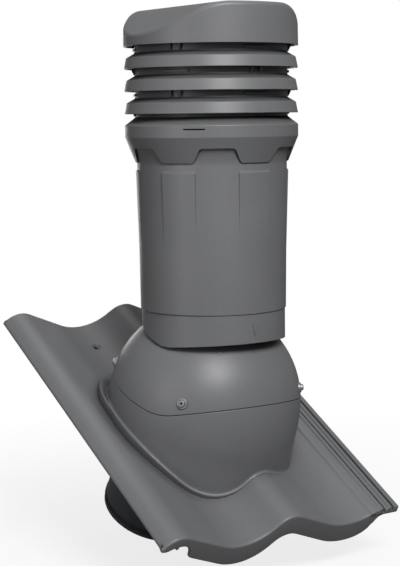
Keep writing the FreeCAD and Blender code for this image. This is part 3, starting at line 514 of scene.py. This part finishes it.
def halved(low, high, too_far):
    """Both ends of a range, closed in on the value at which too_far turns true."""
    for _ in range(HALVINGS):
        middle = (low + high) / 2
        low, high = (low, middle) if too_far(middle) else (middle, high)
    return low, high


def on_ball(radius, around, rise):
    flat = radius * math.cos(rise)
    return Vector((flat * math.cos(around), flat * math.sin(around), radius * math.sin(rise)))


def rim_rise(around, lift=0.0):
    """Angle over the tile's plane at which the ball meets the rim line."""
    upright = Matrix.Rotation(ROOF_PITCH, 3, "X")

    def above_rim(rise):
        spot = upright @ on_ball(BALL_RADIUS, around, rise)
        return spot.z > rim_height(spot.y) + lift

    low, high = halved(LOWEST_RISE, HIGHEST_RISE, above_rim)
    return (low + high) / 2


print("rim rise front and back", round(rim_rise(-math.pi / 2), 2), round(rim_rise(math.pi / 2), 2))

# %% [markdown]
# The lower shell is nearly a ball, but its foot is an oval that reaches further down the
# roof. A ball scaled out of round would have such a foot, but its rim would no longer
# fit the upper shell. So the difference is shared out over the whole height, growing
# from nothing at the rim, and no crease shows.

# %% Dome and skirt


def on_oval(oval, around, height, inset=0.0):
    across, along, shift = oval
    return Vector(((across - inset) * math.cos(around), shift + (along - inset) * math.sin(around), height))


def flared(around, path, inset):
    """How far the shell stands out from the ball, which grows steadily from rim to foot."""
    rim = BALL_RADIUS * rim_rise(around)
    share = (max(rim + path, 0) / (rim + SKIRT_DEPTH)) ** 2
    return (on_oval(SKIRT_FOOT, around, 0, inset) - on_ball(BALL_RADIUS - inset, around, 0)) * share


def on_shell(around, rise, inset=0.0):
    """A point of the lower dome between its rim and the level of its centre."""
    return on_ball(BALL_RADIUS - inset, around, rise) + flared(around, -BALL_RADIUS * rise, inset)


def on_skirt(around, drop, inset=0.0):
    """A point of the skirt, a given distance below the level of the dome's centre."""
    return on_ball(BALL_RADIUS - inset, around, 0) + flared(around, drop, inset) + Vector((0, 0, -drop))


def skirt_meets(around, surface):
    """How far down the skirt meets a surface, given as its height at each x."""

    def under_surface(drop):
        return -drop <= surface(on_skirt(around, drop).x)

    return halved(0.0, SKIRT_DEPTH, under_surface)[0]


FRONT = -math.pi / 2
print("foot in front", [round(v, 1) for v in on_skirt(FRONT, skirt_meets(FRONT, ground_at))])

# %% [markdown]
# The tile ends in four ways. Its left and upper edges are plain and rounded. At the
# eave the lip turns down, shallow at the left end with a small drip nib, and deep over
# the rest. On the right the wave runs into the side lock, which is made below. A Bevel
# modifier can't turn a corner whose depth changes along the way, so each end is a short
# line of its own. All have the same number of points, so that the columns still match.

# %% Tile ends
LIP_DEPTHS = reader([(0, 4.5), (3, 8.5), (8, 12.6), (15, 13.0), (17.6, 13.2), (18.2, 16.2), (20.2, 16.2),
                     (21.0, 13.2), (32, 12.8), (35.5, 14.5), (37.6, 19.0), (38.6, 26.2), (42, 27.0),
                     (276, 27.0), (287, 25.8), (292.5, 23.2), (297, 17.4)])


LIP_WALL, LIP_SHOULDER, LIP_TURN = 4.0, 4.2, 2.6
LIP_SWELL, LIP_FOOT, LIP_UNDERCUT = 0.2, 1.0, 0.6
EDGE_RADIUS = 1.9
END_POINTS = 10
THICKNESS = Vector((0, 0, TILE_WALL))


def curve(start, corner, end, steps):
    """Points on a soft bend from start to end, pulled towards a corner."""
    spots = [k / steps for k in range(steps + 1)]
    return [start.lerp(corner, s).lerp(corner.lerp(end, s), s) for s in spots]


def over_wave(x, y, lift=0.0):
    return Vector((x, y, wave_at(x) + lift))


def plain_end(x, y, out):
    """Rounded edge whose outward direction is out."""
    far = over_wave(x, y)
    near = over_wave(x - out[0] * EDGE_RADIUS, y - out[1] * EDGE_RADIUS)
    low = Vector((0, 0, TILE_WALL - EDGE_RADIUS))
    top = curve(near, far, far - Vector((0, 0, EDGE_RADIUS)), 5)
    return top + curve(far - low, far - THICKNESS, near - THICKNESS, 3)


def eave_end(x, y):
    """The lip: a rounded shoulder, the face, a rounded foot and the back of the lip."""
    crown = over_wave(x, y)
    depth = LIP_DEPTHS(x - TILE_LEFT)
    near = over_wave(x, y + LIP_SHOULDER)
    swell = crown + Vector((0, LIP_SWELL, LIP_SWELL))
    foot = crown - Vector((0, 0, depth))
    rounding = [foot + Vector((0, 0, LIP_FOOT)), foot + Vector((0, LIP_FOOT, 0))]
    back = foot + Vector((0, LIP_WALL, 0))
    under = over_wave(x, y + LIP_WALL, -TILE_WALL - min(LIP_UNDERCUT, depth / 9))
    return curve(near, swell, crown - Vector((0, 0, LIP_TURN)), 5) + rounding + [back, under]


def hidden_end(x, y):
    """The edge that disappears inside the side lock."""
    top = over_wave(x, y)
    return [top.lerp(top - THICKNESS, k / (END_POINTS - 1)) for k in range(END_POINTS)]


ENDS = {
    "hidden": hidden_end,
    "ridge": lambda x, y: plain_end(x, y, (0, 1)),
    "left": lambda x, y: plain_end(x, y, (-1, 0)),
    "eave": eave_end,
}
print("points at an end", {len(end(0, EAVE)) for end in ENDS.values()})

# %% [markdown]
# The tile's edge is walked once round, and each stop on it gets a column. Even stops
# would do on three sides. At the eave the lip's depth turns sharply beside the nib, so
# a few more stops are set exactly where it does.

# %% Walk round the edge
SIDE_COLUMNS, RIDGE_COLUMNS, EAVE_SPACING = 100, 72, 3.7
LIP_CORNERS = [17.5, 18.3, 20.1, 21.1, 36.6, 37.6, 38.2, 38.7, 39.6]
HIDDEN_REACH = 1.5


def tile_edge():
    """Points round the edge with the kind of end at each, anticlockwise from the lower right."""
    right = LOCK_LEFT + HIDDEN_REACH
    span = right - TILE_LEFT
    spots = []
    for k in range(1, SIDE_COLUMNS):
        spots.append((right, EAVE + (RIDGE - EAVE) * k / SIDE_COLUMNS, "hidden"))
    for k in range(RIDGE_COLUMNS):
        spots.append((right + (TILE_LEFT - right) * k / RIDGE_COLUMNS, RIDGE, "ridge"))
    for k in range(SIDE_COLUMNS - 1):
        spots.append((TILE_LEFT, RIDGE + (EAVE - RIDGE) * k / SIDE_COLUMNS, "left"))
    even = [EAVE_SPACING * k for k in range(int(span / EAVE_SPACING) + 1)]
    return spots + [(TILE_LEFT + x, EAVE, "eave") for x in sorted(even + LIP_CORNERS + [span])]


print("columns", len(tile_edge()))

# %% [markdown]
# Where the skirt lands on the tile the real moulding has a ledge: open and flat at the
# back left, no more than a thin bead everywhere else. One profile for both would fold
# over itself where the ledge is narrow. So two are drawn, and the width decides how much
# of each is taken.

# %% Ledge at the dome's foot
BEAD_WIDTH, OPEN_LEDGE, OPEN_EASE = 2.6, 30, 1.5
OPEN_FROM, OPEN_TO, OPEN_BLEND = 30, 172, 30
ALL_BEAD, ALL_FLAT = 4, 9
LEAST_STEP, GROUND_STEP = 0.4, 0.1
FOOT_RADIUS, BROW_RADIUS = 3.0, 1.0
UP = Vector((0, 0, 1))


def ledge_room(around):
    """Widest the ledge may be: open at the back left, a bead everywhere else."""
    turn = math.degrees(around) % 360
    until, since = (OPEN_TO - turn) / OPEN_BLEND, (turn - OPEN_FROM) / OPEN_BLEND
    opened = min(max(until, 0), max(since, 0), 1)
    return BEAD_WIDTH + OPEN_LEDGE * opened ** OPEN_EASE


def flat_ledge(around, drop, foot, edge, out, width, height):
    """A small radius at the skirt's foot, a flat, and a rounded outer brow."""
    inner = min(FOOT_RADIUS, 0.25 * width)
    rest = foot + out * inner
    rest.z = ground_at(rest.x)
    near = edge - out * min(0.3 * width, BROW_RADIUS)
    fillet = curve(on_skirt(around, drop - inner), foot, rest, 5)
    brow = curve(near, edge, edge - UP * min(BROW_RADIUS, 0.7 * height), 4)
    return fillet + [rest.lerp(near, 0.5)] + brow


def bead_ledge(around, drop, foot, edge, out, width, height):
    """The skirt rolls over into a low wall, with no flat between."""
    ground = Vector((edge.x, edge.y, wave_at(edge.x)))
    middle = foot + out * width * 0.5 - UP * width * 0.1
    corner = edge - UP * min(width * 0.5, height * 0.4)
    roll = curve(on_skirt(around, drop - 0.8 * width), foot + (out + UP) * width * 0.1, middle, 5)
    wall = curve(middle.lerp(corner, 0.5), corner, corner.lerp(ground, 0.4), 4)
    return roll + [middle.lerp(corner, 0.3)] + wall


def ledge_part(around, drop):
    """From the foot of the skirt over the ledge and down to the wave."""
    foot = on_skirt(around, drop)
    away = on_oval(LEDGE_EDGE, around, 0).xy - foot.xy
    out = away.normalized().to_3d()
    width = min(away.length, ledge_room(around))
    edge = foot + out * width
    ground = Vector((edge.x, edge.y, wave_at(edge.x)))
    height = max(ground_at(edge.x) - ground.z, LEAST_STEP)
    edge.z = ground.z + height
    toe = ground + out
    toe.z = wave_at(toe.x)
    shape = (around, drop, foot, edge, out, width, height)
    bead = min(max((ALL_FLAT - width) / (ALL_FLAT - ALL_BEAD), 0), 1)
    ledge = [a.lerp(b, bead) for a, b in zip(flat_ledge(*shape), bead_ledge(*shape))]
    return ledge + [ground + UP * GROUND_STEP, ground, ground.lerp(toe, 0.3), toe]


print("ledge width in front and behind", ledge_room(FRONT), round(ledge_room(-FRONT), 1))

# %% [markdown]
# One column goes once round the section: rim, ball, skirt, the ledge at its foot, the
# field, the tile's end, underside, inner skirt and the lap that the upper shell sits
# over. Every column has the same number of points, whatever it crosses.

# %% One column
RIM_EASE, RIM_EASE_RISE = 0.6, 0.005


def outer_shell(around, drop):
    """Rim, ball and skirt, down to where the ledge's own points begin."""
    rise = rim_rise(around)
    line = [on_ball(LAP_OUTSIDE, around, rise), on_ball(BALL_RADIUS - RIM_EASE, around, rise)]
    line += [on_shell(around, (rise - RIM_EASE_RISE) * (1 - k / 12)) for k in range(13)]
    return line + [on_skirt(around, (drop - FOOT_RADIUS) * k / 9) for k in range(1, 9)]


def inner_shell(around):
    """Inside of the skirt and the ball, then the lap."""
    lap_rise, low_rise = rim_rise(around, LAP_HEIGHT), rim_rise(around, -LAP_OVERLAP)
    line = [on_skirt(around, SKIRT_DEPTH), on_skirt(around, SKIRT_DEPTH, BALL_WALL)]
    line += [on_skirt(around, SKIRT_DEPTH * (1 - k / 6), BALL_WALL) for k in range(1, 6)]
    line += [on_shell(around, low_rise * k / 5, BALL_WALL) for k in range(6)]
    line += [on_ball(LAP_INSIDE, around, low_rise + (lap_rise - low_rise) * k / 3) for k in range(4)]
    return line + [on_ball(LAP_OUTSIDE, around, lap_rise)]


def across_wave(start, end, shares, lift=0.0):
    """Points on the wave that lie straight between two others when seen from above."""
    spots = [start.xy.lerp(end.xy, share) for share in shares]
    return [over_wave(spot.x, spot.y, lift) for spot in spots]


def tile_column(around, x, y, kind):
    """The closed line round the section, from the rim out to x, y and back."""
    drop = skirt_meets(around, ground_at)
    inner_foot = on_skirt(around, skirt_meets(around, lambda at: wave_at(at) - TILE_WALL))
    end = ENDS[kind](x, y)
    line = outer_shell(around, drop) + ledge_part(around, drop)
    line += across_wave(line[-1], end[0], [k / 27 for k in range(1, 27)]) + end
    line += across_wave(end[-1], inner_foot, [k / 14 for k in range(1, 15)], -TILE_WALL)
    return line + inner_shell(around)


def column_angle(x, y):
    across, along, shift = LEDGE_EDGE
    return math.atan2((y - shift) / along, x / across)


columns = [tile_column(column_angle(x, y), x, y, kind) for x, y, kind in tile_edge()]
print("points in a column", {len(column) for column in columns})

# %% [markdown]
# The side lock is a strip with three low ribs and two grooves, in which the next tile
# hooks. It could be a curve with a bevel profile, but a closed body is wanted, so a line
# of points is drawn along the tile, and its ends are eased by lowering the last points a
# little. The lip's tail under it closes the eave, and two hooks under the upper edge
# hang the tile on its batten.

# %% Side lock, tail and hooks
LOCK_LINE = [
    (289.2, -40.7, 0), (290.8, -38.9, 1.2), (295.0, -37.0, 3.0), (301.4, -36.1, 1.2),
    (303.0, -33.6, 0.7), (306.4, -33.4, 0.6), (307.2, -41.2, 0.5), (310.4, -41.2, 0.6),
    (311.4, -36.2, 1.0), (314.6, -35.9, 1.2), (316.0, -33.6, 0.7), (319.0, -33.4, 0.6),
    (319.8, -39.4, 0.5), (322.4, -39.4, 0.4), (323.4, -34.0, 0.5), (330.0, -34.4, 0.9),
    (330.0, -43.2, 1.0), (288.0, -43.3, 0.6), (288.0, -41.6, 0.5), (289.2, -40.7, 0)]
LOCK_EASING = [(EAVE, 0.9), (EAVE + 0.35, 0.35), (EAVE + 1.2, 0), (RIDGE - 1, 0), (RIDGE, 0.8)]
LOCK_TOPS = -38
TAIL_LINE = [(296.8, -41.8), (309.5, -41.8), (308.8, -43.6), (305.6, -44.4), (303.2, -45.8),
             (301.2, -48.2), (299.0, -51.8), (296.8, -55.4)]
HOOK_HALF_WIDTH, HOOK_ROUND = 22.0, 2.0
HOOK_TOP, HOOK_FOOT = 2.0, 20.4
HOOK_FROM_RIDGE = (34.0, 22.0)


def drawn(sections):
    """Points and faces of a closed body through sections that all have the same count."""
    count = len(sections[0])
    faces = [list(range(count))[::-1], list(range(len(sections) * count - count, len(sections) * count))]
    for s in range(len(sections) - 1):
        for k in range(count):
            a, b = s * count + k, s * count + (k + 1) % count
            faces.append([a, b, b + count, a + count])
    return [p for section in sections for p in section], faces


def lock_sections():
    """The lock's line at five places up the roof, with its tops lowered at both ends."""
    line = rounded_line(LOCK_LINE, 4)[:-1]
    sections = []
    for y, ease in LOCK_EASING:
        heights = [p.y - ease if p.y > LOCK_TOPS else p.y for p in line]
        sections.append([Vector((TILE_LEFT + p.x, y, z)) for p, z in zip(line, heights)])
    return sections


def tail_sections():
    """The lip's tail, as thick as the lip."""
    return [[Vector((TILE_LEFT + x, y, z)) for x, z in TAIL_LINE] for y in (EAVE, EAVE + LIP_WALL)]


def hook_sections(x, floor):
    """A hook whose lower corners are rounded, drawn up the roof."""
    half, low, high = HOOK_HALF_WIDTH, floor - HOOK_FOOT, floor - HOOK_TOP
    corners = [(-half, high, 0), (-half, low, HOOK_ROUND), (half, low, HOOK_ROUND), (half, high, 0)]
    line = rounded_line(corners, 3)
    return [[Vector((x + p.x, RIDGE - back, p.y)) for p in line] for back in HOOK_FROM_RIDGE]


extras = [drawn(lock_sections()), drawn(tail_sections())]
extras += [drawn(hook_sections(x, floor)) for x, floor in VALLEYS]
print("extra bodies", len(extras))

# %% [markdown]
# The columns are closed into one skin that meets itself both ways, like a tyre. A Remesh
# modifier would close it too, but would lose the crisp lip, so the quads are listed one
# by one. Edges that bend only a little are shaded smooth and the others stay sharp.

# %% Tile skin
SHARP_ANGLE = math.radians(38)


def woven(columns):
    """Points and quads of a skin that closes on itself both ways."""
    rows = len(columns[0])
    points = [p for column in columns for p in column]
    faces = []
    for c in range(len(columns)):
        following = (c + 1) % len(columns)
        for r in range(rows):
            up = (r + 1) % rows
            faces.append([c * rows + r, following * rows + r, following * rows + up, c * rows + up])
    return points, faces


def made_mesh(name, bodies):
    """One mesh of several bodies in the tile's frame, with all faces turned outwards."""
    points, faces = [], []
    for body_points, body_faces in bodies:
        faces += [[len(points) + k for k in face] for face in body_faces]
        points += body_points
    mesh = bpy.data.meshes.new(name)
    mesh.from_pydata([TILE_FRAME @ p for p in points], [], faces)
    net = bmesh.new()
    net.from_mesh(mesh)
    bmesh.ops.recalc_face_normals(net, faces=net.faces)
    net.to_mesh(mesh)
    net.free()
    mesh.shade_smooth()
    mesh.set_sharp_from_angle(angle=SHARP_ANGLE)
    return mesh


skin = made_mesh("tile skin", [woven(columns)])
print("skin quads", len(skin.polygons))

# %% [markdown]
# Both nail holes are real holes, five millimetres across. The columns lie too far apart
# to weave anything so small, so a Boolean modifier takes away a drill whose shoulder
# leaves a dimple. The lock, the tail and the hooks come after it, as bodies of their own
# in the same mesh, so that the cut has only the skin to deal with.

# %% Nail holes and the finished tile
NAIL_FROM_RIDGE = 46.5
DRILL_RINGS = [(2.5, -12), (2.5, -1.7), (4.6, -0.4), (5.2, 3)]
DRILL_SIDES = 24


def drill(x, y, floor):
    """A nail drill: a thin shank with a cone on it, standing over a valley floor."""
    turns = [math.tau * k / DRILL_SIDES for k in range(DRILL_SIDES)]
    return [[Vector((x + r * math.cos(a), y + r * math.sin(a), floor + z)) for a in turns]
            for r, z in DRILL_RINGS]


def drilled(mesh, cutter_mesh):
    """The mesh after a Boolean modifier has taken the cutter away."""
    body = bpy.data.objects.new("drilled", mesh)
    cutter = bpy.data.objects.new("drill", cutter_mesh)
    for thing in (body, cutter):
        bpy.context.scene.collection.objects.link(thing)
    cut = body.modifiers.new("nail holes", "BOOLEAN")
    cut.operation = "DIFFERENCE"
    cut.object = cutter
    result = bpy.data.meshes.new_from_object(body.evaluated_get(bpy.context.evaluated_depsgraph_get()))
    for thing in (body, cutter):
        bpy.data.objects.remove(thing)
    return result


def joined(mesh, other):
    """The mesh with another one's bodies added to it."""
    net = bmesh.new()
    net.from_mesh(mesh)
    net.from_mesh(other)
    net.to_mesh(mesh)
    net.free()
    return mesh


def made_piece(name, mesh, finish, node):
    """An object that stands in for a CAD node and rides with the vent's one body."""
    mesh.materials.clear()
    mesh.materials.append(finish)
    piece = bpy.data.objects.new(name, mesh)
    bpy.context.scene.collection.objects.link(piece)
    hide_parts(node)
    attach(piece, "root")
    return piece


nails = [drill(x, RIDGE - NAIL_FROM_RIDGE, floor) for x, floor in VALLEYS]
skin = drilled(skin, made_mesh("drills", [drawn(nail) for nail in nails]))
skin = joined(skin, made_mesh("tile extras", extras))
tile = made_piece("wave_tile", skin, plastic, "tile_base")
print("tile faces", len(tile.data.polygons))

# %% [markdown]
# The photograph stands on pure white, with no horizon. The floor is plain and pale, but
# a Light Path node swaps it for a white glow where the camera, a reflection or a clear
# surface looks at it. Close to the vent the plain floor is mixed back in, so that the
# vent keeps a soft shadow, and further out the glow takes over. The world does the same:
# white to look at, and only softly bright for the light that reaches the vent.

# %% Floor and world
FLOOR_HEIGHT = cad_low.z - 0.0005
FLOOR_HALF = 6.0
FLOOR_SCATTER = 0.08
SHADOW_MIDDLE, SHADOW_NEAR, SHADOW_FAR, SHADOW_SHARE = (0, -0.13, 0), 0.3, 0.9, 0.2
SOFT_LIGHT = 0.15
MIRROR_SHARE = 0.04
WHITE = colour(1, 1, 1)


def looked_at(graph):
    """1 for the camera and clear surfaces, less for reflections, 0 for scattered light."""
    kinds = ("Camera", "Glossy", "Transmission")
    rays = [graph.node("ShaderNodeLightPath", output=f"Is {kind} Ray") for kind in kinds]
    camera_ray, mirror_ray, clear_ray = rays
    return (camera_ray + clear_ray + mirror_ray * MIRROR_SHARE).limited()


def floor_finish():
    finish = Finish("pale floor", Roughness=0.9)
    cloud = finish.noise(0.8)
    plain = finish.mix(cloud, colour(0.9, 0.9, 0.9), colour(0.95, 0.95, 0.95))
    scattered = colour(FLOOR_SCATTER, FLOOR_SCATTER, FLOOR_SCATTER)
    finish.fill(finish.shader, {"Base Color": finish.mix(looked_at(finish), scattered, plain)})
    reach = {0: finish.place(), 1: SHADOW_MIDDLE}
    away = finish.node("ShaderNodeVectorMath", {"operation": "DISTANCE"}, reach, "Value")
    near = 1 - finish.between(away, SHADOW_NEAR, SHADOW_FAR)
    glow = finish.node("ShaderNodeEmission", {}, {"Color": WHITE, "Strength": 1.0})
    share = looked_at(finish) * (1 - SHADOW_SHARE * near)
    values = {0: share, 1: Wire(finish, finish.shader.outputs[0]), 2: glow}
    surface = finish.node("ShaderNodeMixShader", {}, values)
    finish.fill(finish.tree.nodes["Material Output"], {"Surface": surface})
    return finish.material


def floor_piece():
    mesh = bpy.data.meshes.new("floor")
    half = FLOOR_HALF
    corners = [(-half, -half), (half, -half), (half, half), (-half, half)]
    mesh.from_pydata([(x, y, FLOOR_HEIGHT) for x, y in corners], [], [(0, 1, 2, 3)])
    mesh.materials.append(floor_finish())
    piece = bpy.data.objects.new("floor", mesh)
    bpy.context.scene.collection.objects.link(piece)
    return piece


def studio_world():
    world = bpy.data.worlds.new("studio")
    world.use_nodes = True
    graph = Graph(world.node_tree)
    strength = SOFT_LIGHT + (1 - SOFT_LIGHT) * looked_at(graph)
    graph.fill(world.node_tree.nodes["Background"], {"Color": WHITE, "Strength": strength})
    return world


floor = floor_piece()
bpy.context.scene.world = studio_world()
print("floor at", round(FLOOR_HEIGHT, 3), "soft light", SOFT_LIGHT)

# %% [markdown]
# Four soft lamps stand in the studio. A broad key, high and to the right of the camera,
# draws the bright band down the pipe. A wide weak one overhead lights the tile's waves,
# one at the left the rolled edge, and a low one behind the vent its outline.
# Spot lamps would give hard patches on satin plastic, so all four are area lamps, each
# turned to the middle of the vent.

# %% Lamps


def lamp(name, spot, aim, width, height, power):
    data = bpy.data.lights.new(name, "AREA")
    data.shape = "RECTANGLE"
    data.size = width
    data.size_y = height
    data.energy = power
    made = bpy.data.objects.new(name, data)
    made.location = spot
    made.rotation_mode = "QUATERNION"
    made.rotation_quaternion = (Vector(aim) - Vector(spot)).to_track_quat("-Z", "Y")
    bpy.context.scene.collection.objects.link(made)
    return made


MIDDLE = (0, -0.13, 0.3)
LAMPS = [
    ("key", (-0.55, -2.14, 1.95), 1.2, 0.8, 69),
    ("top", (0.2, 0.5, 2.4), 1.3, 1.3, 8),
    ("side", (-2.4, -0.6, 0.6), 0.8, 1.6, 12),
    ("back", (0.95, 2.25, 0.35), 1.4, 0.6, 12),
]
lamps = [lamp(name, spot, MIDDLE, width, height, power) for name, spot, width, height, power in LAMPS]
print("lamps", [made.name for made in lamps])

# %% [markdown]
